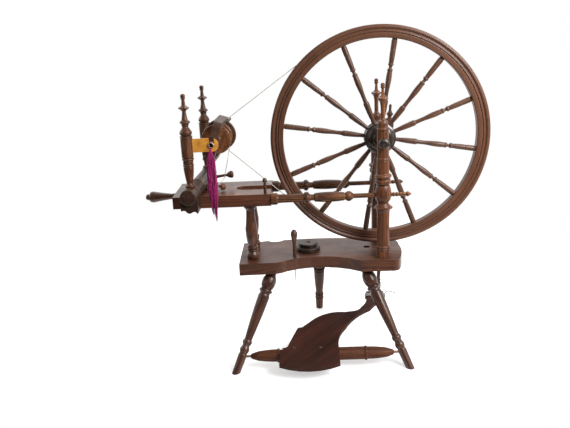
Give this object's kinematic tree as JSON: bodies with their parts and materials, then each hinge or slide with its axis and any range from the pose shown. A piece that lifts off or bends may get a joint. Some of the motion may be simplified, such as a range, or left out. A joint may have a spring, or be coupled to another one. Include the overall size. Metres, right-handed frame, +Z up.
{
  "type": "spinning wheel",
  "caption": "Norwegian treadle spinning wheel with a spoked drive wheel, a long table on rails, a mother-of-all with maidens and flyer, and a curved treadle that cranks the wheel",
  "frame": {"origin": "On the floor under the middle of the wheel's box; the drive wheel's plane is Y = 0", "axes": "+X from the flyer's end to the drive wheel, +Y from the spinner's side to the back, +Z up"},
  "size_m": [0.8495, 0.4367, 0.798],
  "materials": {
    "walnut": "red-brown stained hardwood under a glossy varnish",
    "dark_walnut": "dark stained hardwood under a satin varnish",
    "iron": "dark forged iron and drawn wire",
    "leather": "thick tan harness leather with cut edges",
    "cord": "twisted off-white cotton cord",
    "lace": "thin brown leather thong",
    "wool": "soft combed wool dyed purple"
  },
  "bodies": {
    "frame": {"bench": "walnut", "leg_front_left": "walnut", "leg_front_right": "walnut", "leg_back": "walnut", "wheel_post_front": "walnut", "wheel_post_back": "walnut", "axle_bushes": "leather", "upper_table": "walnut", "table_post_front": "walnut", "table_post_back": "walnut", "rail_front": "walnut", "rail_back": "walnut", "rail_peg": "dark_walnut", "drive_band": "cord"},
    "wheel": {"felloe_1": "walnut", "felloe_2": "walnut", "felloe_3": "walnut", "felloe_4": "walnut", "spoke_1": "walnut", "spoke_2": "walnut", "spoke_3": "walnut", "spoke_4": "walnut", "spoke_5": "walnut", "spoke_6": "walnut", "spoke_7": "walnut", "spoke_8": "walnut", "spoke_9": "walnut", "spoke_10": "walnut", "spoke_11": "walnut", "spoke_12": "walnut", "hub": "dark_walnut", "axle_crank": "iron"},
    "footman": {"footman": "dark_walnut"},
    "treadle": {"treadle_bar": "walnut", "treadle_board": "walnut", "treadle_pins": "iron", "treadle_nails": "dark_walnut", "footman_lace": "lace"},
    "mother_of_all": {"mother_of_all": "dark_walnut", "moa_bracket": "dark_walnut", "moa_tongue": "dark_walnut", "maiden_front": "walnut", "maiden_back": "walnut", "leather_front": "leather", "leather_back": "leather", "brake_anchor": "walnut", "brake_cord": "cord", "wool_roving": "wool"},
    "tension_screw": {"tension_screw": "walnut"},
    "flyer": {"flyer_arms": "dark_walnut", "flyer_hooks": "iron", "flyer_spindle": "iron", "orifice_tube": "iron", "flyer_whorl": "dark_walnut"},
    "bobbin": {"bobbin": "walnut"},
    "brake_peg": {"brake_peg": "walnut"},
    "orifice_hook": {"orifice_hook_handle": "dark_walnut", "orifice_hook_wire": "iron"},
    "spare_whorl": {"spare_whorl": "walnut"}
  },
  "joints": [
    {"name": "wheel_spin", "type": "hinge", "parent": "frame", "child": "wheel", "pos_m": [0.16, 0, 0.533], "axis": [0, 1, 0], "continuous": true},
    {"name": "footman_swing", "type": "hinge", "parent": "wheel", "child": "footman", "pos_m": [0.19625, 0.0993, 0.5499], "axis": [0, 1, 0], "continuous": true},
    {"name": "treadle_rock", "type": "hinge", "parent": "frame", "child": "treadle", "pos_m": [0.001, -0.14808, 0.034], "axis": [1, 0, 0], "range_deg": [-13.5, 5.4]},
    {"name": "moa_slide", "type": "slide", "parent": "frame", "child": "mother_of_all", "axis": [1, 0, 0], "range_m": [-0.012, 0.012], "deforming": ["drive_band"]},
    {"name": "tension_turn", "type": "hinge", "parent": "frame", "child": "tension_screw", "pos_m": [-0.344, 0, 0.4055], "axis": [1, 0, 0], "range_deg": [-545, 545]},
    {"name": "flyer_spin", "type": "hinge", "parent": "mother_of_all", "child": "flyer", "pos_m": [-0.225, 0, 0.557], "axis": [0.0697, 0.9966, 0.0436], "continuous": true},
    {"name": "bobbin_spin", "type": "hinge", "parent": "flyer", "child": "bobbin", "pos_m": [-0.22848, -0.04983, 0.55482], "axis": [0.0697, 0.9966, 0.0436], "continuous": true},
    {"name": "brake_peg_turn", "type": "hinge", "parent": "mother_of_all", "child": "brake_peg", "pos_m": [-0.28076, 0.04, 0.4388], "axis": [0.9925, 0, 0.1219], "range_deg": [-180, 180]},
    {"name": "hook_lift", "type": "slide", "parent": "frame", "child": "orifice_hook", "axis": [0, 0, 1], "range_m": [0, 0.06]},
    {"name": "whorl_lift", "type": "slide", "parent": "frame", "child": "spare_whorl", "axis": [0, 0, 1], "range_m": [0, 0.022]}
  ],
  "couplings": [
    {"joint": "footman_swing", "follows": "wheel_spin", "ratio": -1},
    {"joint": "flyer_spin", "follows": "wheel_spin", "ratio": 13.256},
    {"joint": "tension_turn", "follows": "moa_slide", "rad_per_m": 785.4}
  ]
}
